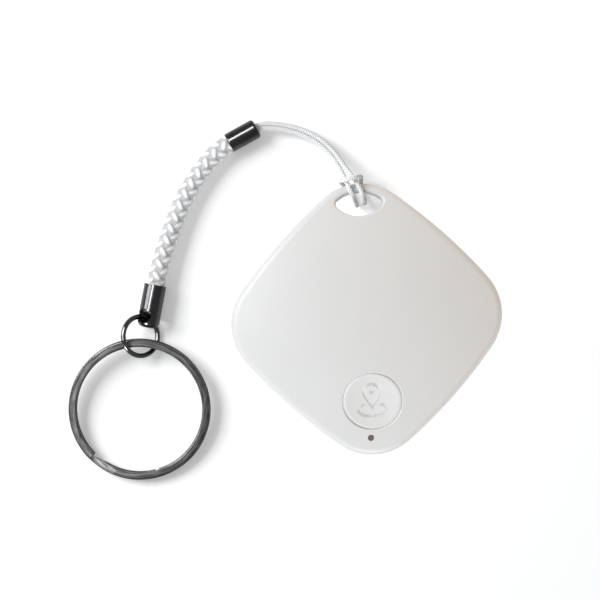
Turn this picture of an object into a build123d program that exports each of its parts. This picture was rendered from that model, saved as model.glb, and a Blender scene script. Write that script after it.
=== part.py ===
"""Bluetooth tracker tag with a doubled cord, a braided lanyard and a split key ring.

Millimetres. The origin is under the middle of the tag on its flat back face, +Z points out of
the front face and +Y points to the lanyard eye.
"""

from build123d import *
import math
import os

os.makedirs("parts", exist_ok=True)

# ---------------------------------------------------------------- driving dimensions
half_flat = 20.2
corner_radius = 9.8
side_radius = 96.0
front_z = 8.2
front_sphere = 75.0
back_flat_radius = 14.5
back_arc = 50.0
front_fillet = 1.5
back_fillet = 0.6
dome_margin = 0.6
parting_z = 2.3
wall = 1.2
seam_gap = 0.05
tongue_inset = 0.7
tongue_top = parting_z + 0.65
seal_top = parting_z + 1.05

eye_top = 22.2
eye_bottom = 17.98
eye_half_width = 4.45
eye_middle = 20.35
eye_end_radius = 0.9
eye_collar = 1.0
relief_radius = 14.0
relief_depth = 1.35

button_y = -14.2
button_rx = 5.1
button_ry = 4.85
button_gap = 0.2
dish_depth = 0.5
dish_lip = 4.6
symbol_depth = 0.34
rim_round = 0.14
flange_width = 0.6
flange_thickness = 0.45
flange_gap = 0.12

hole_x = -0.65
hole_y = -20.6
hole_radius = 0.565

cell_y = 2.5
cell_radius = 10.0
cell_bottom = 1.05
cell_height = 3.2
cell_top = cell_bottom + cell_height

pcb_bottom = 2.2
pcb_thickness = 0.8
pcb_top = pcb_bottom + pcb_thickness
pcb_inset = 1.9
pcb_bore = 10.5

door_radius = 11.4
door_thickness = 0.9
door_bore = 11.6
collar_inner = 10.4
collar_outer = 13.2
collar_top = 2.0
door_step = 1.15

switch_size = 4.5
switch_height = 1.5
plunger_radius = 1.2

cord_diameter = 0.8
braid_diameter = 3.1
upper_ferrule_diameter = 3.5
lower_ferrule_diameter = 3.9
jump_wire = 0.9
jump_outer = 7.8
key_outer = 25.0
key_inner = 22.0
key_height = 1.6
key_tilt = 4.2
jump_tilt = 35.0


def save(part, label):
    """Label one finished piece and write it as its own file."""
    part.label = label
    export_step(part, "parts/" + label + ".step")


def sphere_z(apex, radius, distance):
    """Height of a sphere with its apex on the Z axis, at a distance from that axis."""
    return apex - radius + math.sqrt(radius ** 2 - distance ** 2)


# ---------------------------------------------------------------- outline of the tag
# Four long flat arcs and four corner arcs, tangent to each other.
k_root = math.sqrt(2 * (side_radius - corner_radius) ** 2 - (half_flat - side_radius) ** 2)
corner_offset = ((half_flat - side_radius) + k_root) / 2
corner_centre = corner_offset * math.sqrt(2)
half_diagonal = corner_centre + corner_radius


def tag_outline(inset):
    """Closed outline of the tag, moved inwards by inset, corners on the X and Y axes."""
    corner = corner_radius - inset
    side = side_radius - inset
    side_centre = side_radius - half_flat
    middle = Vector(side - side_centre, 0).rotate(Axis.Z, 45)
    far_centre = Vector(side_centre, side_centre) / math.sqrt(2)
    start_direction = (Vector(0, corner_centre) + far_centre).normalized()
    top = Vector(0, corner_centre) + start_direction * corner
    right = Vector(top.Y, top.X)
    tip = Vector(corner_centre + corner, 0)
    low = Vector(right.X, -right.Y)
    with BuildLine() as line:
        ThreePointArc(top, middle, right)
        ThreePointArc(right, tip, low)
        quarter = line.line
        for turn in (90, 180, 270):
            add(quarter.rotate(Axis.Z, turn))
    return line.line


def dome(radius, apex):
    """Solid of revolution under the front sphere and over the back's flat-to-arc profile."""
    inner = front_sphere - radius
    edge = half_diagonal + dome_margin
    back_radius = back_arc - inner
    rise = back_arc - math.sqrt(back_radius ** 2 - (edge - back_flat_radius) ** 2)
    with BuildPart() as body:
        with BuildSketch(Plane.XZ):
            with BuildLine():
                Line((0, inner), (0, apex))
                RadiusArc((0, apex), (edge, sphere_z(apex, radius, edge)), radius)
                Line((edge, sphere_z(apex, radius, edge)), (edge, rise))
                RadiusArc((edge, rise), (back_flat_radius, inner), back_radius)
                Line((back_flat_radius, inner), (0, inner))
            make_face()
        revolve(axis=Axis.Z)
    return body.part


def eye_sketch(grow):
    """Lens-shaped eye with rounded ends, grown outwards by grow."""
    with BuildSketch() as lens:
        with BuildLine():
            ThreePointArc((-eye_half_width, eye_middle), (0, eye_top), (eye_half_width, eye_middle))
            ThreePointArc((eye_half_width, eye_middle), (0, eye_bottom), (-eye_half_width, eye_middle))
        make_face()
        fillet(lens.vertices(), eye_end_radius)
        if grow:
            offset(amount=grow, kind=Kind.ARC)
    return lens.sketch


outer_dome = dome(front_sphere, front_z)
inner_dome = dome(front_sphere - wall, front_z - wall)
tall = front_z + 4


# ---------------------------------------------------------------- outer body, then two shells
with BuildPart() as outer_body:
    with BuildSketch(Plane.XY.offset(-1)):
        with BuildLine():
            add(tag_outline(0))
        make_face()
    extrude(amount=tall)
    add(outer_dome, mode=Mode.INTERSECT)
    rim_edges = outer_body.edges().filter_by(lambda edge: edge.center().Z > parting_z)
    front_edges = rim_edges.filter_by(lambda edge: (edge @ 0.5).Z > 3.5 and edge.geom_type != GeomType.LINE)
    front_edges = front_edges.filter_by(lambda edge: edge.bounding_box().size.Z < 2.2)
    fillet(front_edges, front_fillet)
    back_edges = outer_body.edges().filter_by(lambda edge: (edge @ 0.5).Z < 1.4)
    back_edges = back_edges.filter_by(lambda edge: math.hypot((edge @ 0.5).X, (edge @ 0.5).Y) > 17)
    fillet(back_edges, back_fillet)

with BuildPart() as cavity:
    with BuildSketch(Plane.XY.offset(-1)):
        with BuildLine():
            add(tag_outline(wall))
        make_face()
    extrude(amount=tall)
    add(inner_dome, mode=Mode.INTERSECT)
    with BuildSketch(Plane.XY.offset(-1)):
        add(eye_sketch(eye_collar))
    extrude(amount=tall, mode=Mode.SUBTRACT)

# The recess behind the rim of the eye, where the cord lies.
with BuildPart() as cord_relief:
    with BuildSketch(Plane.XZ.offset(-half_diagonal - 1)):
        with Locations((0, relief_depth - relief_radius)):
            Circle(relief_radius)
    extrude(amount=half_diagonal + 1 - eye_middle)


def ring_prism(outer_inset, inner_inset, low, high):
    """Band that follows the outline between two insets."""
    with BuildPart() as band:
        with BuildSketch(Plane.XY.offset(low)):
            with BuildLine():
                add(tag_outline(outer_inset))
            make_face()
            with BuildLine():
                add(tag_outline(inner_inset))
            make_face(mode=Mode.SUBTRACT)
        extrude(amount=high - low)
    return band.part


def front_rims(part, width):
    """Edges of the button or of its opening on the front face, found by their width."""
    rims = []
    for edge in part.edges():
        box = edge.bounding_box()
        if box.max.Z > 7 and abs(box.size.X - width) < 0.1:
            rims.append(edge)
    return rims


def eye_edges(part, height):
    """Edges of the eye's wall that lie at one height, or above the parting plane."""
    return part.edges().filter_by(
        lambda edge: abs((edge @ 0.5).X) < 4.6 and (edge @ 0.5).Y > 17.5
        and (edge @ 0.5).Y < eye_top + 0.1 and abs((edge @ 0.5).Z - height) < 0.9)


# ---------------------------------------------------------------- back shell
screw_places = [(-13.0, -9.5), (13.0, -9.5), (-11.5, 12.0), (11.5, 12.0)]
boss_radius = 1.7
pilot_radius = 0.55
pilot_floor = 0.6
lug_radius = 12.2
lug_low = 0.45
lug_half_angle = 8.0
twist_angle = 30.0
slot_gap = 0.1

with BuildPart() as back_shell:
    add(outer_body.part)
    add(cavity.part, mode=Mode.SUBTRACT)
    split(bisect_by=Plane.XY.offset(parting_z), keep=Keep.BOTTOM)
    with BuildSketch(Plane.XY.offset(wall - 0.2)):
        with Locations((0, cell_y)):
            Circle(collar_outer)
        with Locations(*screw_places):
            Circle(boss_radius)
    extrude(amount=collar_top - wall + 0.2)
    with BuildSketch(Plane.XY.offset(collar_top)):
        with Locations(*screw_places):
            Circle(boss_radius)
    extrude(amount=pcb_bottom - collar_top)
    add(ring_prism(tongue_inset + seam_gap, wall, parting_z - 0.4, tongue_top))
    with BuildSketch(Plane.XY.offset(-1)):
        add(eye_sketch(0))
    extrude(amount=tall, mode=Mode.SUBTRACT)
    with BuildSketch(Plane.XY.offset(pcb_bottom)):
        with Locations(*screw_places):
            Circle(pilot_radius)
    extrude(amount=pilot_floor - pcb_bottom, mode=Mode.SUBTRACT)
    with BuildSketch(Plane.XY.offset(-1)):
        with Locations((0, cell_y)):
            Circle(door_bore)
    extrude(amount=1 + door_step, mode=Mode.SUBTRACT)
    with BuildSketch(Plane.XY.offset(-1)):
        with Locations((0, cell_y)):
            Circle(collar_inner)
    extrude(amount=tall, mode=Mode.SUBTRACT)
    add(cord_relief.part, mode=Mode.SUBTRACT)


def sector(start, sweep_angle, radius, low, high):
    """Solid wedge of a disc about the cell's axis, start and sweep in degrees."""
    with BuildPart() as wedge:
        with BuildSketch(Plane.XY.offset(low)):
            with BuildLine():
                near = Vector(0, cell_y) + Vector(radius, 0).rotate(Axis.Z, start)
                middle = Vector(0, cell_y) + Vector(radius, 0).rotate(Axis.Z, start + sweep_angle / 2)
                far = Vector(0, cell_y) + Vector(radius, 0).rotate(Axis.Z, start + sweep_angle)
                Line((0, cell_y), near)
                ThreePointArc(near, middle, far)
                Line(far, (0, cell_y))
            make_face()
        extrude(amount=high - low)
    return wedge.part


with BuildPart() as bayonet_slots:
    for turn in (0, 120, 240):
        start = turn - lug_half_angle - 1
        slot_span = 2 * lug_half_angle + 2 + twist_angle
        add(sector(start, slot_span, lug_radius + slot_gap, lug_low - 0.07, door_step - 0.1))
        add(sector(start + twist_angle, 2 * lug_half_angle + 2, lug_radius + slot_gap, -1, lug_low))
    with BuildSketch(Plane.XY.offset(-1)):
        with Locations((0, cell_y)):
            Circle(collar_inner + 0.3)
    extrude(amount=tall, mode=Mode.SUBTRACT)

back_shell_part = back_shell.part - bayonet_slots.part
save(back_shell_part, "back_shell")

# ---------------------------------------------------------------- front shell
piezo_ring_inner = 6.9
piezo_ring_outer = 7.7
piezo_seat = 5.75

with BuildPart() as front_shell:
    add(outer_body.part)
    add(cavity.part, mode=Mode.SUBTRACT)
    split(bisect_by=Plane.XY.offset(parting_z), keep=Keep.TOP)
    add(ring_prism(tongue_inset, wall + seam_gap, parting_z - 0.5, seal_top), mode=Mode.SUBTRACT)
    with BuildSketch(Plane.XY.offset(piezo_seat)):
        with Locations((0, cell_y)):
            Circle(piezo_ring_outer)
            Circle(piezo_ring_inner, mode=Mode.SUBTRACT)
    extrude(amount=1.1)
    with BuildSketch(Plane.XY.offset(-1)):
        add(eye_sketch(0))
        with Locations((0, button_y)):
            Ellipse(button_rx + button_gap / 2, button_ry + button_gap / 2)
        with Locations((hole_x, hole_y)):
            Circle(hole_radius)
    extrude(amount=tall, mode=Mode.SUBTRACT)
    fillet(eye_edges(front_shell, 4.9), 0.45)
    fillet(front_rims(front_shell.part, 2 * button_rx + button_gap), rim_round)
save(front_shell.part, "front_shell")

# ---------------------------------------------------------------- seal between the shells
save(ring_prism(tongue_inset + seam_gap, wall, tongue_top, seal_top - seam_gap), "shell_seal")

# ---------------------------------------------------------------- battery door and its ring
ring_section = 0.3
ring_major = 11.0
ring_z = 0.82
rebate_radius = 10.6
rebate_z = 0.5
coin_slot_length = 14.0
coin_slot_width = 1.8
coin_slot_depth = 0.45

with BuildPart() as battery_door:
    with BuildSketch():
        with Locations((0, cell_y)):
            Circle(door_radius)
    extrude(amount=door_thickness)
    with BuildSketch(Plane.XY.offset(rebate_z)):
        with Locations((0, cell_y)):
            Circle(door_radius + 1)
            Circle(rebate_radius, mode=Mode.SUBTRACT)
    extrude(amount=door_thickness, mode=Mode.SUBTRACT)
    with BuildSketch():
        with Locations((0, cell_y)):
            SlotOverall(coin_slot_length, coin_slot_width)
    extrude(amount=coin_slot_depth, mode=Mode.SUBTRACT)

with BuildPart() as door_lugs:
    for turn in (0, 120, 240):
        add(sector(turn - lug_half_angle, 2 * lug_half_angle, lug_radius, lug_low, door_thickness))
    with BuildSketch():
        with Locations((0, cell_y)):
            Circle(door_radius)
    extrude(amount=tall, mode=Mode.SUBTRACT)

with BuildPart() as lug_root:
    for turn in (0, 120, 240):
        add(sector(turn - lug_half_angle, 2 * lug_half_angle, door_radius, lug_low, rebate_z))

door_part = battery_door.part + door_lugs.part + lug_root.part
save(door_part, "battery_door")

with BuildPart() as door_ring:
    with Locations((0, cell_y, ring_z)):
        Torus(ring_major, ring_section)
save(door_ring.part, "door_seal_ring")


# ---------------------------------------------------------------- coin cell
def disc(radius, low, high, bore=0.0, centre=(0, cell_y)):
    """Flat disc or ring between two heights."""
    with BuildPart() as piece:
        with BuildSketch(Plane.XY.offset(low)):
            with Locations(centre):
                Circle(radius)
                if bore:
                    Circle(bore, mode=Mode.SUBTRACT)
        extrude(amount=high - low)
    return piece.part


can_wall = 0.25
cell_floor = cell_bottom + can_wall
can_top = cell_bottom + 2.95
cap_radius = 9.3
cap_low = cell_floor + 0.3
cap_skin = 0.2
separator_z = 2.9

can = disc(cell_radius, cell_bottom, can_top) - disc(cell_radius - can_wall, cell_floor, can_top)
save(can, "cell_can")
gasket = disc(cell_radius - can_wall, cell_floor, can_top + 0.1, cap_radius)
gasket += disc(cap_radius, cell_floor, cap_low, cap_radius - 0.4)
save(gasket, "cell_gasket")
cap = disc(cap_radius, cap_low, cell_top) - disc(cap_radius - cap_skin, cap_low, cell_top - cap_skin)
save(cap, "cell_cap")
save(disc(8.6, cell_floor, separator_z), "cell_cathode")
save(disc(9.0, separator_z, separator_z + 0.1), "cell_separator")
save(disc(8.7, separator_z + 0.1, cell_top - cap_skin), "cell_anode")


# ---------------------------------------------------------------- circuit board and what is on it
def block(width, depth, height, centre_x, centre_y, low):
    """Plain block standing on a height."""
    with BuildPart() as piece:
        with Locations((centre_x, centre_y, low + height / 2)):
            Box(width, depth, height)
    return piece.part


board_top_edge = 15.6
screw_hole_radius = 0.75

with BuildPart() as main_board:
    with BuildSketch(Plane.XY.offset(pcb_bottom)):
        with BuildLine():
            add(tag_outline(pcb_inset))
        make_face()
        with Locations((0, board_top_edge + 10)):
            Rectangle(60, 20, mode=Mode.SUBTRACT)
        with Locations((0, cell_y)):
            Circle(pcb_bore, mode=Mode.SUBTRACT)
        with Locations(*screw_places):
            Circle(screw_hole_radius, mode=Mode.SUBTRACT)
    extrude(amount=pcb_thickness)
save(main_board.part, "main_board")

screw_head_radius = 1.15
screw_head_height = 0.55
screw_length = 1.4

with BuildPart() as board_screws:
    for place_x, place_y in screw_places:
        with Locations((place_x, place_y, pcb_bottom - screw_length)):
            Cylinder(pilot_radius, screw_length + pcb_thickness,
                     align=(Align.CENTER, Align.CENTER, Align.MIN))
        with Locations((place_x, place_y, pcb_top)):
            Cylinder(screw_head_radius, screw_head_height, align=(Align.CENTER, Align.CENTER, Align.MIN))
        for width, depth in ((1.3, 0.28), (0.28, 1.3)):
            with Locations((place_x, place_y, pcb_top + screw_head_height - 0.3)):
                Box(width, depth, 0.6, align=(Align.CENTER, Align.CENTER, Align.MIN), mode=Mode.SUBTRACT)
save(board_screws.part, "board_screws")

chip = block(4.0, 4.0, 0.8, -15.2, -0.5, pcb_top)
save(chip, "bluetooth_chip")
save(block(2.5, 2.0, 0.6, -15.2, -5.0, pcb_top), "crystal")
save(block(1.6, 5.0, 1.0, 18.4, 0.0, pcb_top), "chip_antenna")
save(block(1.6, 0.8, 0.5, hole_x, hole_y, pcb_top), "status_led")

with BuildPart() as small_chips:
    with Locations((-15.8, 5.7, pcb_top + 0.2), (7.4, -12.4, pcb_top + 0.2)):
        with GridLocations(1.7, 1.3, 3, 3):
            Box(1.0, 0.5, 0.4)
save(small_chips.part, "resistors_and_capacitors")

# ---------------------------------------------------------------- battery contacts
contact_width = 3.0
contact_sheet = 0.2

positive_x = -cell_radius
positive = block(2.6, contact_width, contact_sheet, positive_x - 1.3, cell_y, pcb_top)
positive += block(contact_sheet, contact_width, 1.0, positive_x - contact_sheet / 2, cell_y, pcb_top)
save(positive, "positive_contact")

negative = block(2.0, contact_width, contact_sheet, 11.9, cell_y, pcb_top)
negative += block(contact_sheet, contact_width, cell_top + contact_sheet - pcb_top, 11.0, cell_y, pcb_top)
negative += block(13.1, contact_width, contact_sheet, 4.55, cell_y, cell_top)
save(negative, "negative_contact")

# ---------------------------------------------------------------- piezo sounder
save(disc(7.5, piezo_seat - 0.2, piezo_seat), "sounder_plate")
save(disc(5.0, piezo_seat, piezo_seat + 0.2), "sounder_ceramic")

# ---------------------------------------------------------------- switch, button, light pipe
switch_top = pcb_top + switch_height
plunger_gap = 0.05
plunger_top = switch_top + 0.5
plunger_low = switch_top - 0.55

with BuildPart() as switch_body:
    with Locations((0, button_y, pcb_top)):
        Box(switch_size, switch_size, switch_height, align=(Align.CENTER, Align.CENTER, Align.MIN))
    with Locations((0, button_y, pcb_top + 0.4)):
        Cylinder(plunger_radius + plunger_gap, switch_height, align=(Align.CENTER, Align.CENTER, Align.MIN),
                 mode=Mode.SUBTRACT)
save(switch_body.part, "switch_body")
save(disc(plunger_radius, plunger_low, plunger_top, centre=(0, button_y)), "switch_plunger")


def shell_layer(outer_cut, inner_cut, radius_x, radius_y):
    """Oval plug between two depths under the front sphere, on the button's axis."""
    with BuildPart() as layer:
        with BuildSketch(Plane.XY.offset(1)):
            with Locations((0, button_y)):
                Ellipse(radius_x, radius_y)
        extrude(amount=tall)
        with Locations((0, 0, front_z - front_sphere)):
            Sphere(front_sphere - outer_cut, mode=Mode.INTERSECT)
            Sphere(front_sphere - inner_cut, mode=Mode.SUBTRACT)
    return layer.part


flange_top = wall + flange_gap
flange_low = flange_top + flange_thickness
cap_rx = button_rx - button_gap / 2
cap_ry = button_ry - button_gap / 2
dish_radius = 0.5 / (dish_depth / dish_lip ** 2 - 0.5 / front_sphere)
button_slope = math.asin(-button_y / front_sphere)
button_normal = Vector(0, -math.sin(button_slope), math.cos(button_slope))
button_face = Vector(0, button_y, sphere_z(front_z, front_sphere, button_y))
dish_centre = button_face + button_normal * (dish_radius - dish_depth)

pin_head_y = -12.6
pin_head_radius = 1.7
pin_line = 0.62
pin_tip_y = -15.95
ground_rx = 2.75
ground_ry = 1.45
ground_y = -15.7


def pin_outline(shrink):
    """Map pin: a round head drawn down to a point, moved inwards by shrink."""
    head = pin_head_radius - shrink
    tip = pin_tip_y + shrink / math.sin(math.asin(pin_head_radius / (pin_head_y - pin_tip_y)))
    reach = pin_head_y - tip
    tangent = math.acos(head / reach)
    side = Vector(head * math.sin(tangent), pin_head_y - head * math.cos(tangent))
    with BuildSketch(Plane.XY.offset(4)) as pin:
        with BuildLine():
            Line((0, tip), side)
            ThreePointArc(side, (0, pin_head_y + head), (-side.X, side.Y))
            Line((-side.X, side.Y), (0, tip))
        make_face()
    return pin.sketch


with BuildPart() as symbol:
    with BuildSketch(Plane.XY.offset(4)):
        with Locations((0, ground_y)):
            Ellipse(ground_rx, ground_ry)
            Ellipse(ground_rx - 0.6, ground_ry - 0.6, mode=Mode.SUBTRACT)
        add(pin_outline(-0.45), mode=Mode.SUBTRACT)
        add(pin_outline(0))
        add(pin_outline(pin_line), mode=Mode.SUBTRACT)
        with Locations((0, pin_head_y)):
            Circle(0.45)
    extrude(amount=4)
    with Locations(dish_centre):
        Sphere(dish_radius + symbol_depth, mode=Mode.INTERSECT)

button_cap = shell_layer(0, wall, cap_rx, cap_ry)
button_skirt = shell_layer(wall - 0.01, flange_low, cap_rx, cap_ry)
button_skirt -= shell_layer(wall, flange_low + 1, 4.0, 3.8)
button_flange = shell_layer(flange_top, flange_low, button_rx + flange_width, button_ry + flange_width)
button_flange -= shell_layer(wall, flange_low + 1, 4.0, 3.8)
with BuildPart() as button_post:
    with BuildSketch(Plane.XY.offset(plunger_top)):
        with Locations((0, button_y)):
            Circle(1.1)
    extrude(amount=0.8)
dish = Pos(*dish_centre) * Sphere(dish_radius)
find_button = button_cap + button_skirt + button_flange + button_post.part - dish - symbol.part
find_button = fillet(front_rims(find_button, 2 * cap_rx), rim_round)
save(find_button, "find_button")

pipe_radius = hole_radius - 0.04
pipe_seat = pcb_top + 0.58
light_pipe = disc(pipe_radius, pipe_seat, 4.95, centre=(hole_x, hole_y))
light_pipe += disc(pipe_radius + 0.18, pipe_seat, pipe_seat + 0.22, centre=(hole_x, hole_y))
save(light_pipe, "light_pipe")


# ---------------------------------------------------------------- lanyard
def bend_radii(points):
    """One arc radius for each corner of a route, from its two runs and its turn."""
    radii = []
    for before, corner, after in zip(points, points[1:], points[2:]):
        run_in = Vector(*corner) - Vector(*before)
        run_out = Vector(*after) - Vector(*corner)
        turn = math.radians(run_in.get_angle(run_out))
        radii.append(0.45 * min(run_in.length, run_out.length) / math.tan(turn / 2))
    return radii


def tube(points, diameter, label):
    """Round cord along straight runs joined by tangent arcs."""
    radii = bend_radii(points)
    with BuildPart() as cord:
        with BuildLine() as path:
            FilletPolyline(*points, radius=radii)
        route = path.wire()
        with BuildSketch(Plane(route @ 0, z_dir=route % 0)):
            Circle(diameter / 2)
        sweep(path=route, transition=Transition.ROUND)
    expected = math.pi * diameter ** 2 / 4 * route.length
    print(label, "length", round(route.length, 2), "volume over expected",
          round(cord.part.volume / expected, 4), "radii", [round(radius, 2) for radius in radii])
    return cord.part


cord_route = [
    (-18.18, 33.72, 1.77), (-16.0, 34.74, 1.77), (-13.98, 34.45, 1.5), (-11.55, 33.97, 1.35),
    (-9.2, 33.1, 1.4), (-6.85, 31.75, 1.7), (-5.05, 30.05, 2.15), (-3.85, 28.3, 2.8),
    (-2.95, 26.6, 3.6), (-2.35, 25.2, 4.3), (-1.95, 24.0, 4.95), (-1.55, 22.9, 5.2),
    (-1.1, 21.8, 4.8), (-0.7, 20.9, 3.8), (-0.4, 20.1, 2.6), (-0.3, 20.0, 1.25),
    (-0.55, 20.9, 0.5), (-1.1, 22.1, 0.44), (-1.9, 23.1, 0.46), (-2.6, 23.95, 0.9),
    (-2.95, 24.35, 1.9), (-3.05, 24.45, 3.1), (-2.95, 24.4, 4.3), (-2.5, 24.4, 5.3),
    (-1.6, 24.5, 5.85), (-0.5, 24.7, 5.75), (0.25, 24.85, 5.1), (0.6, 24.8, 4.1),
    (0.65, 24.6, 2.9), (0.65, 24.35, 1.7), (0.65, 23.8, 0.75), (0.7, 22.8, 0.44),
    (0.8, 21.65, 0.5), (0.95, 20.6, 1.15), (1.05, 20.2, 2.35), (1.0, 20.6, 3.6),
    (0.75, 21.6, 4.7), (0.3, 22.8, 5.2), (-0.25, 23.9, 4.95), (-0.95, 25.1, 4.3),
    (-1.85, 26.5, 3.65), (-2.8, 28.2, 2.9), (-4.15, 30.25, 2.2), (-6.1, 32.25, 1.7),
    (-8.65, 33.85, 1.4), (-11.3, 34.85, 1.35), (-13.94, 35.35, 1.5), (-16.39, 35.56, 1.77),
    (-18.56, 34.54, 1.77),
]
cord_loop = tube(cord_route, cord_diameter, "thin cord")
save(cord_loop, "thin_cord")

braid_route = [
    (-20.05, 33.35, 1.77), (-23.85, 31.57, 1.77), (-27.2, 28.1, 1.7), (-30.1, 24.2, 1.68),
    (-32.2, 20.1, 1.69), (-33.95, 16.0, 1.75), (-35.80, 11.31, 1.97), (-37.37, 5.2, 1.97),
]
braid = tube(braid_route, braid_diameter, "braided cord")
save(braid, "braided_cord")

upper_mouth = Vector(-22.13, 32.37, 1.77)
upper_end = Vector(-17.01, 34.77, 1.77)
lower_mouth = Vector(-36.55, 8.4, 1.97)
lower_end = Vector(-38.45, 1.0, 1.97)


def bar_between(start, end, diameter):
    """Plain round bar between two points."""
    with BuildPart() as bar:
        with BuildSketch(Plane(start, z_dir=(end - start))):
            Circle(diameter / 2)
        extrude(amount=(end - start).length)
    return bar.part


upper_barrel = bar_between(upper_mouth, upper_end, upper_ferrule_diameter)
upper_barrel = fillet(upper_barrel.edges().filter_by(GeomType.CIRCLE).sort_by(Axis.X)[-1], 0.5)
upper_barrel = fillet(upper_barrel.edges().filter_by(GeomType.CIRCLE).sort_by(Axis.X)[0], 0.25)
braid_seat = bar_between(Vector(*braid_route[0]), upper_mouth - (upper_end - upper_mouth), braid_diameter)
first_cord_seat = bar_between(Vector(*cord_route[0]), Vector(*cord_route[1]), cord_diameter)
last_cord_seat = bar_between(Vector(*cord_route[-1]), Vector(*cord_route[-2]), cord_diameter)
upper_ferrule = upper_barrel - braid_seat - first_cord_seat - last_cord_seat
save(upper_ferrule, "upper_ferrule")

jump_radius = (jump_outer - jump_wire) / 2
jump_centre = Vector(-39.7, -0.4, 2.45)
jump_normal = Vector(math.sin(math.radians(jump_tilt)), 0, math.cos(math.radians(jump_tilt)))
jump_plane = Plane(jump_centre, z_dir=jump_normal)
jump_ring = jump_plane * Torus(jump_radius, jump_wire / 2)
save(jump_ring, "jump_ring")

# The curved cross hole of the lower ferrule follows the ring at the middle of its swing.
hole_minor = 1.0
middle_swing = -9.0
lower_barrel = bar_between(lower_mouth, lower_end, lower_ferrule_diameter)
lower_edges = lower_barrel.edges().filter_by(GeomType.CIRCLE).sort_by(Axis.Y)
lower_barrel = fillet(lower_edges[0], 1.2)
lower_seat = bar_between(Vector(*braid_route[-1]), lower_mouth - (lower_end - lower_mouth), braid_diameter)
jump_top = jump_centre + jump_plane.y_dir * jump_radius
jump_swing = Axis(jump_top, jump_plane.x_dir)
cross_hole = (jump_plane * Torus(jump_radius, hole_minor)).rotate(jump_swing, middle_swing)
# Its front mouth is a round hole that leans to the left, where the ring goes in.
mouth_diameter = 2.5
mouth_lean = math.radians(30)
mouth_centre = lower_end + (lower_mouth - lower_end) * 0.29
mouth_axis = Vector(-math.sin(mouth_lean), 0, math.cos(mouth_lean))
front_mouth = bar_between(mouth_centre, mouth_centre + mouth_axis * 4, mouth_diameter)
lower_ferrule = lower_barrel - lower_seat - cross_hole - front_mouth
print("jump ring top", jump_top, "swing axis", jump_plane.x_dir)
save(lower_ferrule, "lower_ferrule")

# ---------------------------------------------------------------- split key ring
key_middle = (key_outer + key_inner) / 4
key_width = (key_outer - key_inner) / 2
key_centre = Vector(-40.8, -13.2, 0)
key_far = key_outer / 2
coil_gap = 0.06
key_plane = Plane(
    key_centre + Vector(0, 0, key_far * math.sin(math.radians(key_tilt)) + 0.02),
    x_dir=(1, 0, 0),
    z_dir=(0, -math.sin(math.radians(key_tilt)), math.cos(math.radians(key_tilt))),
)
coil_height = (key_height - coil_gap) / 2
end_angle = 222.0
end_gap = 0.7
ramp_angle = 22.0
edge_break = 0.14
coil_step = 0.13
waist_depth = 0.7
waist_turn = 21.0

def flat_coil(step):
    """One turn of the flat wire, narrower by a step on both sides, with its edges broken."""
    with BuildPart() as coil:
        with BuildSketch():
            Circle(key_outer / 2 - step)
            Circle(key_inner / 2 + step, mode=Mode.SUBTRACT)
        extrude(amount=coil_height)
        fillet(coil.edges(), edge_break)
    return coil.part


upper_z = coil_height + coil_gap
lower_end_angle = end_angle + 60
bridge_angle = end_angle + 40
with BuildPart() as bridge:
    Box(key_width - 0.3, 2.4, coil_gap + 0.4)
with BuildPart() as end_cut:
    Box(key_width + 1, end_gap, coil_height + 0.4)
with BuildPart() as ramp_cut:
    Box(key_width + 1, 12, 2, align=(Align.CENTER, Align.MIN, Align.MIN))
with BuildPart() as waist_cut:
    Box(2, 5, 4, align=(Align.MAX, Align.MIN, Align.CENTER))

ramp_slope = math.degrees(math.atan(0.8 * coil_height / (key_middle * math.radians(ramp_angle))))
upper_coil = Pos(0, 0, upper_z) * flat_coil(coil_step)
upper_coil -= Rot(0, 0, end_angle) * Pos(key_middle, 0, upper_z + coil_height / 2 + 0.1) * end_cut.part
upper_coil -= (Rot(0, 0, end_angle) * Pos(key_middle, 0, upper_z + 0.2 * coil_height)
               * Rot(ramp_slope, 0, 0) * ramp_cut.part)
lower_coil = flat_coil(0)
lower_coil -= Rot(0, 0, lower_end_angle) * Pos(key_middle, 0, coil_height / 2 - 0.1) * end_cut.part
key_ring = lower_coil + upper_coil
key_ring += Rot(0, 0, bridge_angle) * Pos(key_middle, 0, coil_height + coil_gap / 2) * bridge.part
# The wire is drawn narrower on its inner side where it crosses from one coil to the other.
waist_place = Rot(0, 0, end_angle) * Pos(key_inner / 2 + waist_depth, 0, 0) * Rot(0, 0, waist_turn)
key_ring -= waist_place * waist_cut.part
key_ring = key_plane * key_ring
save(key_ring, "key_ring")

for piece in (front_shell.part, back_shell_part, find_button, door_part, upper_ferrule, lower_ferrule,
              key_ring):
    print(piece.label, "solids", len(piece.solids()), "volume", round(piece.volume, 2))
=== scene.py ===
"""Looks for the bluetooth tracker tag: camera, braided cords, materials and light."""

import math

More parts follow.
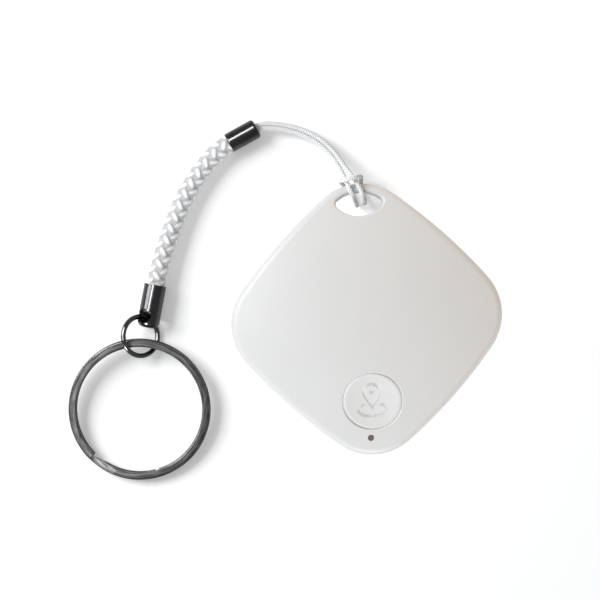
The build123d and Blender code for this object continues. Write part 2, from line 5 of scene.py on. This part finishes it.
import bpy
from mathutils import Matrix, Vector


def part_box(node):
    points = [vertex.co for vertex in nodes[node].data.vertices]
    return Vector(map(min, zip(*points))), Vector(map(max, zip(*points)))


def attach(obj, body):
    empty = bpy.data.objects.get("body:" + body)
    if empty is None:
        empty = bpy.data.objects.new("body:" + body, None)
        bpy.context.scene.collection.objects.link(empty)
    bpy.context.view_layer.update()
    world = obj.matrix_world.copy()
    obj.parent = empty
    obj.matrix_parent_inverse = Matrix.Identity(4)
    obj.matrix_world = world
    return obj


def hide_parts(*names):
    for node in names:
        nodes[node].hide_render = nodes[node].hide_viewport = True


MM = 0.001
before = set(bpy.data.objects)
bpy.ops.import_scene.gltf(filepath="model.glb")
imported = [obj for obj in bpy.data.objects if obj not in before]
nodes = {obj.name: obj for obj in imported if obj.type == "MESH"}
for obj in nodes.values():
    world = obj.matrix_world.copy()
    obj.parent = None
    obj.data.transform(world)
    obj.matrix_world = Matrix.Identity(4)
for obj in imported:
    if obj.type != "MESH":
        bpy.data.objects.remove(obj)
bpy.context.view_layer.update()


# ---------------------------------------------------------------- camera
VIEW_TURN = math.radians(-3.75)
VIEW_CENTRE = Vector((-11.4, 4.1, 3.0)) * MM
VIEW_WIDTH = 105.0 * MM
VIEW_DISTANCE = 300.0 * MM
SENSOR = 36.0

camera_data = bpy.data.cameras.new("camera")
camera_data.sensor_width = SENSOR
camera_data.lens = SENSOR * VIEW_DISTANCE / VIEW_WIDTH
camera_data.clip_start = 0.01
camera = bpy.data.objects.new("camera", camera_data)
camera.location = VIEW_CENTRE + Vector((0, 0, VIEW_DISTANCE))
camera.rotation_euler = (0, 0, VIEW_TURN)
bpy.context.scene.collection.objects.link(camera)
bpy.context.scene.camera = camera


# ---------------------------------------------------------------- node helpers
def new_material(name):
    """Empty material; returns it with its tree's node maker, linker and Principled shader."""
    material = bpy.data.materials.new(name)
    material.use_nodes = True
    tree = material.node_tree
    return material, tree, tree.nodes["Principled BSDF"]


def add_node(tree, kind, **values):
    """New node with its properties and unlinked inputs set by name."""
    node = tree.nodes.new(kind)
    for key, value in values.items():
        socket = node.inputs.get(key.replace("_", " "))
        if socket is not None:
            socket.default_value = value
        else:
            setattr(node, key, value)
    return node


def noise(tree, scale, detail=4.0, stretch=(1, 1, 1)):
    """Noise over the object's own coordinates, stretched along its axes."""
    place = add_node(tree, "ShaderNodeTexCoord")
    mapping = add_node(tree, "ShaderNodeMapping")
    mapping.inputs["Scale"].default_value = stretch
    tree.links.new(place.outputs["Object"], mapping.inputs["Vector"])
    pattern = add_node(tree, "ShaderNodeTexNoise", Scale=scale, Detail=detail)
    tree.links.new(mapping.outputs["Vector"], pattern.inputs["Vector"])
    return pattern.outputs["Fac"]


def ramp(tree, source, stops):
    """Colour ramp over a value, from a list of (position, colour)."""
    node = add_node(tree, "ShaderNodeValToRGB")
    elements = node.color_ramp.elements
    for element, (position, colour) in zip(elements, stops[:2]):
        element.position = position
        element.color = (*colour, 1)
    for position, colour in stops[2:]:
        element = elements.new(position)
        element.color = (*colour, 1)
    tree.links.new(source, node.inputs["Fac"])
    return node.outputs["Color"]


def value_range(tree, source, low, high):
    """Map a 0 to 1 value onto low to high."""
    node = add_node(tree, "ShaderNodeMapRange")
    node.inputs["To Min"].default_value = low
    node.inputs["To Max"].default_value = high
    tree.links.new(source, node.inputs["Value"])
    return node.outputs["Result"]


def bump(tree, source, shader, distance):
    """Bump the shader's surface by a height value; distance is in metres."""
    node = add_node(tree, "ShaderNodeBump", Strength=1.0, Distance=distance)
    tree.links.new(source, node.inputs["Height"])
    tree.links.new(node.outputs["Normal"], shader.inputs["Normal"])


def tint(colour, factor):
    """A colour made lighter or darker."""
    return tuple(min(1.0, part * factor) for part in colour)


def grained(name, colour, roughness, grain_scale, grain_depth, variation=0.03, metallic=0.0):
    """Moulded or plated surface: slight colour drift, uneven gloss and a fine grain."""
    material, tree, shader = new_material(name)
    shader.inputs["Metallic"].default_value = metallic
    drift = noise(tree, 90.0, 3.0)
    stops = [(0.35, tint(colour, 1 - variation)), (0.65, tint(colour, 1 + variation))]
    tree.links.new(ramp(tree, drift, stops), shader.inputs["Base Color"])
    patches = noise(tree, 400.0, 5.0)
    gloss = value_range(tree, patches, roughness * 0.85, roughness * 1.15)
    tree.links.new(gloss, shader.inputs["Roughness"])
    grain = noise(tree, grain_scale, 6.0)
    bump(tree, grain, shader, grain_depth)
    return material


def dress(node_name, material):
    """Give a CAD node its material."""
    mesh = nodes[node_name].data
    mesh.materials.clear()
    mesh.materials.append(material)


# ---------------------------------------------------------------- cord routes
# As in the CAD model, with the thin cord's first part sagging 0.15 mm more before the hitch.
THIN_ROUTE = [
    (-18.18, 33.72, 1.77), (-16.0, 34.74, 1.77), (-13.98, 34.45, 1.5), (-11.55, 33.97, 1.35),
    (-9.2, 33.1, 1.4), (-6.85, 31.75, 1.7), (-5.05, 30.05, 2.15), (-3.85, 28.3, 2.64),
    (-2.95, 26.6, 3.45), (-2.35, 25.2, 4.3), (-1.95, 24.0, 4.95), (-1.55, 22.9, 5.2),
    (-1.1, 21.8, 4.8), (-0.7, 20.9, 3.8), (-0.4, 20.1, 2.6), (-0.3, 20.0, 1.25),
    (-0.55, 20.9, 0.5), (-1.1, 22.1, 0.44), (-1.9, 23.1, 0.46), (-2.6, 23.95, 0.9),
    (-2.95, 24.35, 1.9), (-3.05, 24.45, 3.1), (-2.95, 24.4, 4.3), (-2.5, 24.4, 5.3),
    (-1.6, 24.5, 5.85), (-0.5, 24.7, 5.75), (0.25, 24.85, 5.1), (0.6, 24.8, 4.1),
    (0.65, 24.6, 2.9), (0.65, 24.35, 1.7), (0.65, 23.8, 0.75), (0.7, 22.8, 0.44),
    (0.8, 21.65, 0.5), (0.95, 20.6, 1.15), (1.05, 20.2, 2.35), (1.0, 20.6, 3.6),
    (0.75, 21.6, 4.7), (0.3, 22.8, 5.2), (-0.25, 23.9, 4.95), (-0.95, 25.1, 4.3),
    (-1.85, 26.5, 3.65), (-2.8, 28.2, 2.9), (-4.15, 30.25, 2.2), (-6.1, 32.25, 1.7),
    (-8.65, 33.85, 1.4), (-11.3, 34.85, 1.35), (-13.94, 35.35, 1.5), (-16.39, 35.56, 1.77),
    (-18.56, 34.54, 1.77),
]
BRAID_ROUTE = [
    (-20.05, 33.35, 1.77), (-23.85, 31.57, 1.77), (-27.2, 28.1, 1.7), (-30.1, 24.2, 1.68),
    (-32.2, 20.1, 1.69), (-33.95, 16.0, 1.75), (-35.80, 11.31, 1.97), (-37.37, 5.2, 1.97),
]


def spline_points(route):
    """Points along the smooth cord line that has the route's points as its control points."""
    data = bpy.data.curves.new("route", "CURVE")
    data.dimensions = "3D"
    data.resolution_u = 16
    spline = data.splines.new("NURBS")
    spline.points.add(len(route) - 1)
    for point, place in zip(spline.points, route):
        point.co = (*(Vector(place) * MM), 1)
    spline.order_u = 3
    spline.use_endpoint_u = True
    holder = bpy.data.objects.new("route", data)
    bpy.context.scene.collection.objects.link(holder)
    graph = bpy.context.evaluated_depsgraph_get()
    mesh = bpy.data.meshes.new_from_object(holder.evaluated_get(graph))
    points = [vertex.co.copy() for vertex in mesh.vertices]
    bpy.data.objects.remove(holder)
    return points


def resample(points, step):
    """The same line with evenly spaced points, and its length."""
    lengths = [0.0]
    for before, after in zip(points, points[1:]):
        lengths.append(lengths[-1] + (after - before).length)
    total = lengths[-1]
    count = max(2, round(total / step))
    even = []
    index = 0
    for number in range(count + 1):
        goal = total * number / count
        while index < len(points) - 2 and lengths[index + 1] < goal:
            index += 1
        span = max(1e-12, lengths[index + 1] - lengths[index])
        even.append(points[index].lerp(points[index + 1], min(1.0, max(0.0, (goal - lengths[index]) / span))))
    return even, total


def frames_along(points):
    """For each point its direction and two side vectors that don't twist."""
    frames = []
    side = None
    for index, point in enumerate(points):
        ahead = points[min(index + 1, len(points) - 1)]
        behind = points[max(index - 1, 0)]
        forward = (ahead - behind).normalized()
        if side is None:
            side = forward.orthogonal().normalized()
        side = (side - forward * side.dot(forward)).normalized()
        frames.append((point, side, forward.cross(side).normalized()))
    return frames


def add_tube(builder, rings, crowns):
    """Closed tube through rings of points; UVs run round and along, and each point has a crown value."""
    verts, faces, uvs = builder
    first = len(verts)
    sides = len(rings[0])
    for ring in rings:
        verts.extend(ring)
    for row in range(len(rings) - 1):
        for column in range(sides):
            after = (column + 1) % sides
            low = first + row * sides
            high = low + sides
            faces.append((low + column, low + after, high + after, high + column))
            left, right = column / sides, (column + 1) / sides
            uvs.extend([(left, row, crowns[row][column]), (right, row, crowns[row][after]),
                        (right, row + 1, crowns[row + 1][after]), (left, row + 1, crowns[row + 1][column])])
    for start, flip in ((first, True), (first + (len(rings) - 1) * sides, False)):
        cap = [start + column for column in range(sides)]
        faces.append(tuple(reversed(cap)) if flip else tuple(cap))
        uvs.extend([(0.5, 0.0, 0.0)] * sides)


CORE_SIDES = 28


def braid_piece(name, points, length, look, yarn):
    """Round braid: strands wound both ways, over and under each other, on a core of the same yarn."""
    frames = frames_along(points)
    half = look["diameter"] / 2
    builder = ([], [], [])
    steps = len(frames) - 1
    thick = look["strand_thickness"] / 2
    wide = look["strand_width"] / 2
    weave = look["weave"]
    mean = half - thick - weave
    each_way = look["strands"] // 2
    section = [2 * math.pi * corner / look["sides"] for corner in range(look["sides"])]
    for way in (1, -1):
        for strand in range(each_way):
            rings = []
            crowns = []
            for index, (centre, side, up) in enumerate(frames):
                along = length * index / steps
                angle = way * 2 * math.pi * along / look["pitch"] + 2 * math.pi * strand / each_way
                phase = 2 * math.pi * each_way * along / look["pitch"]
                radius = mean + way * weave * math.cos(phase)
                forward = side.cross(up)
                lean = math.atan2(2 * math.pi * mean, look["pitch"]) * way
                ring = []
                for turn in section:
                    offset = wide * math.cos(turn)
                    spun = angle + offset * math.cos(lean) / mean
                    out = side * math.cos(spun) + up * math.sin(spun)
                    height = radius + thick * math.sin(turn)
                    ring.append(centre - forward * (offset * math.sin(lean)) + out * height)
                rings.append(ring)
                # Crown value: how far the strand lies over the others and faces outward; the yarn paints shade
                # where it is low.
                lift = math.sqrt(0.5 + 0.5 * way * math.cos(phase))
                crowns.append([lift * max(0.0, math.sin(turn)) ** 3 for turn in section])
            add_tube(builder, rings, crowns)
    core_section = [2 * math.pi * corner / CORE_SIDES for corner in range(CORE_SIDES)]
    core_radius = look["core_radius"]
    core = [[centre + (side * math.cos(turn) + up * math.sin(turn)) * core_radius for turn in core_section]
            for centre, side, up in frames]
    # The core has no crown, so it is painted in the shade colour all over.
    add_tube(builder, core, [[0.0] * len(core_section) for ring in core])
    mesh = bpy.data.meshes.new(name)
    mesh.from_pydata([tuple(vert) for vert in builder[0]], [], builder[1])
    layer = mesh.uv_layers.new(name="strand")
    scale = length / steps / MM
    floats = mesh.uv_layers.new(name="float")
    for loop, crown_loop, (around, along, crown_light_mask) in zip(layer.data, floats.data, builder[2]):
        loop.uv = (around, along * scale)
        crown_loop.uv = (crown_light_mask, 0.5)
    mesh.polygons.foreach_set("use_smooth", [True] * len(mesh.polygons))
    mesh.materials.append(yarn)
    piece = bpy.data.objects.new(name, mesh)
    bpy.context.scene.collection.objects.link(piece)
    return piece


def cord_material(name, colour, painted_shade_colour, threads, depth, crown_from, crown_to):
    """Silky polyester yarn: fine threads along each strand, white on the crowns, with painted shade making it
    greyer between them.
    """
    material, tree, shader = new_material(name)
    shader.inputs["Roughness"].default_value = 0.6
    shader.inputs["Sheen Weight"].default_value = 0.3
    shader.inputs["Sheen Roughness"].default_value = 0.5
    place = add_node(tree, "ShaderNodeUVMap", uv_map="strand")
    mapping = add_node(tree, "ShaderNodeMapping")
    mapping.inputs["Scale"].default_value = (threads, 0.8, 1)
    mapping.inputs["Rotation"].default_value = (0, 0, math.radians(8))
    tree.links.new(place.outputs["UV"], mapping.inputs["Vector"])
    fibres = add_node(tree, "ShaderNodeTexNoise", Scale=1.0, Detail=5.0)
    tree.links.new(mapping.outputs["Vector"], fibres.inputs["Vector"])
    bright = ramp(tree, fibres.outputs["Fac"], [(0.3, tint(colour, 0.93)), (0.65, tint(colour, 1.05))])
    painted_shade = ramp(tree, fibres.outputs["Fac"], [(0.3, tint(painted_shade_colour, 0.85)), (0.65, tint(painted_shade_colour, 1.1))])
    crown_place = add_node(tree, "ShaderNodeUVMap", uv_map="float")
    apart = add_node(tree, "ShaderNodeSeparateXYZ")
    tree.links.new(crown_place.outputs["UV"], apart.inputs["Vector"])
    crown_light_mask = add_node(tree, "ShaderNodeMapRange", interpolation_type="SMOOTHSTEP")
    crown_light_mask.inputs["From Min"].default_value = crown_from
    crown_light_mask.inputs["From Max"].default_value = crown_to
    tree.links.new(apart.outputs["X"], crown_light_mask.inputs["Value"])
    # Painted shade: the yarn's white gives way to the grey shade colour between the crowns.
    blend = add_node(tree, "ShaderNodeMixRGB")
    tree.links.new(crown_light_mask.outputs["Result"], blend.inputs["Fac"])
    tree.links.new(painted_shade, blend.inputs["Color1"])
    tree.links.new(bright, blend.inputs["Color2"])
    tree.links.new(blend.outputs["Color"], shader.inputs["Base Color"])
    bump(tree, fibres.outputs["Fac"], shader, depth)
    return material


THIN_LOOK = {"diameter": 0.88 * MM, "strands": 8, "pitch": 2.4 * MM, "strand_width": 0.36 * MM,
             "strand_thickness": 0.2 * MM, "weave": 0.04 * MM, "sides": 6, "core_radius": 0.3 * MM}
BRAID_LOOK = {"diameter": 3.3 * MM, "strands": 8, "pitch": 8.7 * MM, "strand_width": 1.3 * MM,
              "strand_thickness": 0.36 * MM, "weave": 0.06 * MM, "sides": 16, "core_radius": 1.48 * MM}
CORD_WHITE = (0.93, 0.93, 0.93)

# The second colour of each yarn is the painted shade between the crowns.
thin_yarn = cord_material("thin_yarn", CORD_WHITE, (0.62, 0.62, 0.625), 5.0, 0.03 * MM, 0.3, 0.6)
thin_points, thin_length = resample(spline_points(THIN_ROUTE), 0.12 * MM)
thin_cord = braid_piece("thin_cord_braid", thin_points, thin_length, THIN_LOOK, thin_yarn)
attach(thin_cord, "tag")
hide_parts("thin_cord")

thick_yarn = cord_material("thick_yarn", CORD_WHITE, (0.5, 0.5, 0.505), 12.0, 0.05 * MM, 0.55, 0.8)
braid_points, braid_length = resample(spline_points(BRAID_ROUTE), 0.2 * MM)
braided_cord = braid_piece("braided_cord_braid", braid_points, braid_length, BRAID_LOOK, thick_yarn)
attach(braided_cord, "tag")
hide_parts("braided_cord")


# ---------------------------------------------------------------- metal materials
def black_nickel(name, colour, roughness):
    """Polished dark plating with faint hairlines and soft smears."""
    material, tree, shader = new_material(name)
    shader.inputs["Metallic"].default_value = 1.0
    smears = noise(tree, 500.0, 4.0)
    stops = [(0.3, tint(colour, 0.8)), (0.7, tint(colour, 1.2))]
    tree.links.new(ramp(tree, smears, stops), shader.inputs["Base Color"])
    gloss = value_range(tree, noise(tree, 900.0, 6.0), roughness * 0.7, roughness * 1.4)
    tree.links.new(gloss, shader.inputs["Roughness"])
    bump(tree, noise(tree, 2500.0, 3.0, (1, 0.15, 1)), shader, 0.002 * MM)
    return material


def bare_inside(material, end, mouth, radius, end_wall, colour):
    """Unplated metal in a tube's bore, of the given radius, from its end wall towards its mouth."""
    tree = material.node_tree
    shader = tree.nodes["Principled BSDF"]
    plated = shader.inputs["Base Color"].links[0].from_socket
    axis = (mouth - end).normalized()
    place = add_node(tree, "ShaderNodeTexCoord")
    offset = add_node(tree, "ShaderNodeVectorMath", operation="SUBTRACT")
    offset.inputs[1].default_value = end
    tree.links.new(place.outputs["Object"], offset.inputs[0])
    crossed = add_node(tree, "ShaderNodeVectorMath", operation="CROSS_PRODUCT")
    crossed.inputs[1].default_value = axis
    tree.links.new(offset.outputs["Vector"], crossed.inputs[0])
    distance = add_node(tree, "ShaderNodeVectorMath", operation="LENGTH")
    tree.links.new(crossed.outputs["Vector"], distance.inputs[0])
    along = add_node(tree, "ShaderNodeVectorMath", operation="DOT_PRODUCT")
    along.inputs[1].default_value = axis
    tree.links.new(offset.outputs["Vector"], along.inputs[0])
    near = add_node(tree, "ShaderNodeMath", operation="LESS_THAN")
    near.inputs[1].default_value = radius
    tree.links.new(distance.outputs["Value"], near.inputs[0])
    past_end = add_node(tree, "ShaderNodeMath", operation="GREATER_THAN")
    past_end.inputs[1].default_value = end_wall
    tree.links.new(along.outputs["Value"], past_end.inputs[0])
    inside = add_node(tree, "ShaderNodeMath", operation="MULTIPLY")
    tree.links.new(near.outputs["Value"], inside.inputs[0])
    tree.links.new(past_end.outputs["Value"], inside.inputs[1])
    streaks = ramp(tree, noise(tree, 1500.0, 5.0), [(0.3, tint(colour, 0.6)), (0.7, tint(colour, 1.4))])
    blend = add_node(tree, "ShaderNodeMixRGB")
    tree.links.new(inside.outputs["Value"], blend.inputs["Fac"])
    tree.links.new(plated, blend.inputs["Color1"])
    tree.links.new(streaks, blend.inputs["Color2"])
    tree.links.new(blend.outputs["Color"], shader.inputs["Base Color"])
    return material


# Painted light across the ring's face, from its inside edge to its outside edge: painted shade at both edges
# and a painted highlight along the middle.
RING_PAINTED_LIGHT = [(0.1, 0.45), (0.42, 1.0), (0.68, 0.5), (0.95, 0.3)]


def brushed_ring(name, colour, centre, inner, outer):
    """Steel brushed in fine circles about the ring's centre, with a painted highlight along the middle of its
    face and painted shade towards its edges.
    """
    material, tree, shader = new_material(name)
    shader.inputs["Metallic"].default_value = 1.0
    shader.inputs["Anisotropic"].default_value = 0.4
    place = add_node(tree, "ShaderNodeTexCoord")
    offset = add_node(tree, "ShaderNodeVectorMath", operation="SUBTRACT")
    offset.inputs[1].default_value = centre
    tree.links.new(place.outputs["Object"], offset.inputs[0])
    flat = add_node(tree, "ShaderNodeVectorMath", operation="MULTIPLY")
    flat.inputs[1].default_value = (1, 1, 0)
    tree.links.new(offset.outputs["Vector"], flat.inputs[0])
    radius = add_node(tree, "ShaderNodeVectorMath", operation="LENGTH")
    tree.links.new(flat.outputs["Vector"], radius.inputs[0])
    apart = add_node(tree, "ShaderNodeSeparateXYZ")
    tree.links.new(offset.outputs["Vector"], apart.inputs["Vector"])
    angle = add_node(tree, "ShaderNodeMath", operation="ARCTAN2")
    tree.links.new(apart.outputs["Y"], angle.inputs[0])
    tree.links.new(apart.outputs["X"], angle.inputs[1])
    joined = add_node(tree, "ShaderNodeCombineXYZ")
    for source, scale, target in ((radius.outputs["Value"], 7000.0, "X"), (angle.outputs["Value"], 3.0, "Y"),
                                  (apart.outputs["Z"], 6000.0, "Z")):
        times = add_node(tree, "ShaderNodeMath", operation="MULTIPLY")
        times.inputs[1].default_value = scale
        tree.links.new(source, times.inputs[0])
        tree.links.new(times.outputs["Value"], joined.inputs[target])
    lines = add_node(tree, "ShaderNodeTexNoise", Scale=1.0, Detail=4.0)
    tree.links.new(joined.outputs["Vector"], lines.inputs["Vector"])
    stops = [(0.35, tint(colour, 0.4)), (0.65, tint(colour, 1.75))]
    brushed = ramp(tree, lines.outputs["Fac"], stops)
    across = add_node(tree, "ShaderNodeMapRange")
    across.inputs["From Min"].default_value = inner
    across.inputs["From Max"].default_value = outer
    tree.links.new(radius.outputs["Value"], across.inputs["Value"])
    # Painted light: the ring's colour is darkened towards its edges and brightened along the middle of its
    # face.
    painted_light_stops = [(place_across, (shade,) * 3) for place_across, shade in RING_PAINTED_LIGHT]
    painted_light_band = ramp(tree, across.outputs["Result"], painted_light_stops)
    painted_light_mix = add_node(tree, "ShaderNodeMixRGB", blend_type="MULTIPLY", Fac=1.0)
    tree.links.new(brushed, painted_light_mix.inputs["Color1"])
    tree.links.new(painted_light_band, painted_light_mix.inputs["Color2"])
    tree.links.new(painted_light_mix.outputs["Color"], shader.inputs["Base Color"])
    gloss = value_range(tree, lines.outputs["Fac"], 0.24, 0.42)
    tree.links.new(gloss, shader.inputs["Roughness"])
    bump(tree, lines.outputs["Fac"], shader, 0.006 * MM)
    return material


def centre_of(node_name):
    """Middle of a CAD node's box."""
    low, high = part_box(node_name)
    return (low + high) / 2


FERRULE_BLACK = (0.06, 0.06, 0.062)
LOWER_END = Vector((-38.45, 1.0, 1.97)) * MM
LOWER_MOUTH = Vector((-36.55, 8.4, 1.97)) * MM
cap_plating = black_nickel("cap_plating", FERRULE_BLACK, 0.19)
dress("upper_ferrule", black_nickel("ferrule_plating", FERRULE_BLACK, 0.19))
BARE_METAL = (0.42, 0.41, 0.4)
dress("lower_ferrule", bare_inside(cap_plating, LOWER_END, LOWER_MOUTH, 1.85 * MM, 1.15 * MM, BARE_METAL))
dress("jump_ring", black_nickel("wire_plating", (0.1, 0.098, 0.096), 0.15))
RING_STEEL = (0.265, 0.263, 0.261)
RING_INSIDE, RING_OUTSIDE = 11.0 * MM, 12.5 * MM
dress("key_ring", brushed_ring("ring_steel", RING_STEEL, centre_of("key_ring"), RING_INSIDE, RING_OUTSIDE))


# ---------------------------------------------------------------- shell materials
SHELL_WHITE = (0.635, 0.635, 0.632)
shell_plastic = grained("shell_plastic", SHELL_WHITE, 0.42, 5200.0, 0.006 * MM, 0.006)
shell_plastic.node_tree.nodes["Principled BSDF"].inputs["Subsurface Weight"].default_value = 0.08
shell_plastic.node_tree.nodes["Principled BSDF"].inputs["Subsurface Scale"].default_value = 0.6 * MM
button_plastic = grained("button_plastic", tint(SHELL_WHITE, 1.04), 0.4, 5200.0, 0.005 * MM, 0.006)
door_plastic = grained("door_plastic", tint(SHELL_WHITE, 0.98), 0.5, 3800.0, 0.012 * MM, 0.01)
dress("front_shell", shell_plastic)
dress("back_shell", shell_plastic)
dress("find_button", button_plastic)
dress("battery_door", door_plastic)

# ---------------------------------------------------------------- pieces inside
INSIDE = {
    "light_pipe": ((0.16, 0.14, 0.13), 0.25, 2000.0, 0.002, 0.08, 0.0),
    "shell_seal": ((0.02, 0.02, 0.022), 0.8, 3000.0, 0.02, 0.15, 0.0),
    "door_seal_ring": ((0.02, 0.02, 0.022), 0.7, 3000.0, 0.02, 0.15, 0.0),
    "cell_can": ((0.62, 0.62, 0.62), 0.28, 3000.0, 0.004, 0.05, 1.0),
    "cell_cap": ((0.62, 0.62, 0.62), 0.32, 3500.0, 0.005, 0.05, 1.0),
    "cell_gasket": ((0.05, 0.06, 0.16), 0.5, 2000.0, 0.01, 0.1, 0.0),
    "cell_cathode": ((0.02, 0.02, 0.02), 0.95, 6000.0, 0.05, 0.3, 0.0),
    "cell_separator": ((0.75, 0.75, 0.71), 0.9, 4000.0, 0.03, 0.06, 0.0),
    "cell_anode": ((0.45, 0.45, 0.46), 0.45, 1500.0, 0.02, 0.1, 1.0),
    "board_screws": ((0.5, 0.5, 0.51), 0.3, 2500.0, 0.004, 0.08, 1.0),
    "bluetooth_chip": ((0.02, 0.02, 0.02), 0.55, 5000.0, 0.01, 0.12, 0.0),
    "crystal": ((0.6, 0.6, 0.58), 0.3, 2500.0, 0.004, 0.05, 1.0),
    "chip_antenna": ((0.7, 0.68, 0.6), 0.5, 4000.0, 0.008, 0.06, 0.0),
    "status_led": ((0.8, 0.77, 0.62), 0.15, 1500.0, 0.002, 0.05, 0.0),
    "resistors_and_capacitors": ((0.28, 0.18, 0.1), 0.5, 3000.0, 0.01, 0.2, 0.0),
    "positive_contact": ((0.66, 0.64, 0.58), 0.25, 2500.0, 0.004, 0.06, 1.0),
    "negative_contact": ((0.66, 0.64, 0.58), 0.25, 2500.0, 0.004, 0.06, 1.0),
    "sounder_plate": ((0.62, 0.45, 0.17), 0.3, 2500.0, 0.004, 0.08, 1.0),
    "sounder_ceramic": ((0.72, 0.72, 0.7), 0.45, 3500.0, 0.01, 0.05, 0.0),
    "switch_body": ((0.03, 0.03, 0.03), 0.5, 3000.0, 0.01, 0.15, 0.0),
    "switch_plunger": ((0.06, 0.06, 0.06), 0.45, 3000.0, 0.01, 0.15, 0.0),
}
for node_name, (colour, roughness, scale, depth, variation, metallic) in INSIDE.items():
    finish = grained(node_name + "_finish", colour, roughness, scale, depth * MM, variation, metallic)
    dress(node_name, finish)

board, board_tree, board_shader = new_material("solder_mask")
board_shader.inputs["Coat Weight"].default_value = 0.3
board_shader.inputs["Roughness"].default_value = 0.4
board_place = add_node(board_tree, "ShaderNodeTexCoord")
tracks = add_node(board_tree, "ShaderNodeTexBrick", Scale=420.0)
tracks.inputs["Mortar Size"].default_value = 0.06
tracks.inputs["Color1"].default_value = (0.012, 0.10, 0.045, 1)
tracks.inputs["Color2"].default_value = (0.016, 0.12, 0.052, 1)
tracks.inputs["Mortar"].default_value = (0.03, 0.19, 0.08, 1)
board_tree.links.new(board_place.outputs["Object"], tracks.inputs["Vector"])
board_tree.links.new(tracks.outputs["Color"], board_shader.inputs["Base Color"])
bump(board_tree, tracks.outputs["Fac"], board_shader, 0.02 * MM)
dress("main_board", board)


# ---------------------------------------------------------------- floor and light
def floor_material():
    """Bright paper-white floor that still takes soft shadows."""
    material, _, shader = new_material("floor_white")
    shader.inputs["Base Color"].default_value = (0.95, 0.95, 0.95, 1)
    shader.inputs["Roughness"].default_value = 0.9
    shader.inputs["Specular IOR Level"].default_value = 0.1
    shader.inputs["Emission Color"].default_value = (1, 1, 1, 1)
    shader.inputs["Emission Strength"].default_value = 0.22
    return material


FLOOR_HALF = 1.5
floor_mesh = bpy.data.meshes.new("floor")
floor_mesh.from_pydata([(-FLOOR_HALF, -FLOOR_HALF, 0), (FLOOR_HALF, -FLOOR_HALF, 0),
                        (FLOOR_HALF, FLOOR_HALF, 0), (-FLOOR_HALF, FLOOR_HALF, 0)], [], [(0, 1, 2, 3)])
floor_mesh.materials.append(floor_material())
floor = bpy.data.objects.new("floor", floor_mesh)
floor.location = (0, 0, -0.02 * MM)
bpy.context.scene.collection.objects.link(floor)
floor.visible_diffuse = False


def area_light(name, place, size, power, colour, height=None):
    """Soft light aimed at the object: square, or a strip when it has its own height."""
    data = bpy.data.lights.new(name, "AREA")
    data.shape = "SQUARE" if height is None else "RECTANGLE"
    data.size = size
    if height is not None:
        data.size_y = height
    data.energy = power
    data.color = colour
    light = bpy.data.objects.new(name, data)
    light.location = place
    light.rotation_euler = (VIEW_CENTRE - Vector(place)).to_track_quat("-Z", "Y").to_euler()
    bpy.context.scene.collection.objects.link(light)
    return light


def group_of(name, pieces):
    """Collection that a light's linking can point at."""
    group = bpy.data.collections.new(name)
    for piece in pieces:
        group.objects.link(piece)
    return group


# Only the lanyard and the rings cast the key light's shadow. The low light reaches the white pieces and the
# side light only the tag. The ferrules and the jump ring get a strip light overhead, the lower ferrule and the
# jump ring a light for their glints, and the key ring a small light on its left.
tag_pieces = [nodes[name] for name in ("front_shell", "back_shell", "find_button", "battery_door")]
metal_pieces = [nodes[name] for name in ("upper_ferrule", "lower_ferrule", "jump_ring", "key_ring")]
cord_pieces = [thin_cord, braided_cord]
key_light = area_light("key_light", (-0.42, 0.22, 0.32), 0.32, 3.6, (0.97, 0.985, 1.0))
key_light.light_linking.blocker_collection = group_of("shading_lanyard", cord_pieces + metal_pieces)
low_light = area_light("low_light", (0.0, -0.6, 0.13), 0.3, 3.1, (0.98, 0.99, 1.0))
low_light.light_linking.receiver_collection = group_of("lit_white", tag_pieces + cord_pieces)
side_light = area_light("side_light", (0.55, 0.25, 0.12), 0.3, 2.1, (1.0, 0.79, 0.56))
side_light.light_linking.receiver_collection = group_of("lit_tag", tag_pieces)
side_light.visible_glossy = False
strip_light = area_light("strip_light", (-0.17, 0.09, 0.45), 0.42, 3.4, (1.0, 1.0, 1.0), 0.1)
strip_light.light_linking.receiver_collection = group_of("lit_metal", metal_pieces[:3])
glint_light = area_light("glint_light", (-0.16, -0.2, 0.16), 0.08, 1.2, (1.0, 1.0, 1.0))
glint_light.light_linking.receiver_collection = group_of("lit_joint", metal_pieces[1:3])
ring_light = area_light("ring_light", (-0.095, -0.038, 0.11), 0.03, 0.02, (1.0, 1.0, 1.0))
ring_light.visible_camera = False
ring_light.light_linking.receiver_collection = group_of("lit_ring", metal_pieces[3:])

world = bpy.data.worlds.new("studio")
world.use_nodes = True
world.node_tree.nodes["Background"].inputs["Color"].default_value = (1, 1, 1, 1)
world.node_tree.nodes["Background"].inputs["Strength"].default_value = 0.35
bpy.context.scene.world = world
bpy.context.scene.view_settings.view_transform = "Standard"
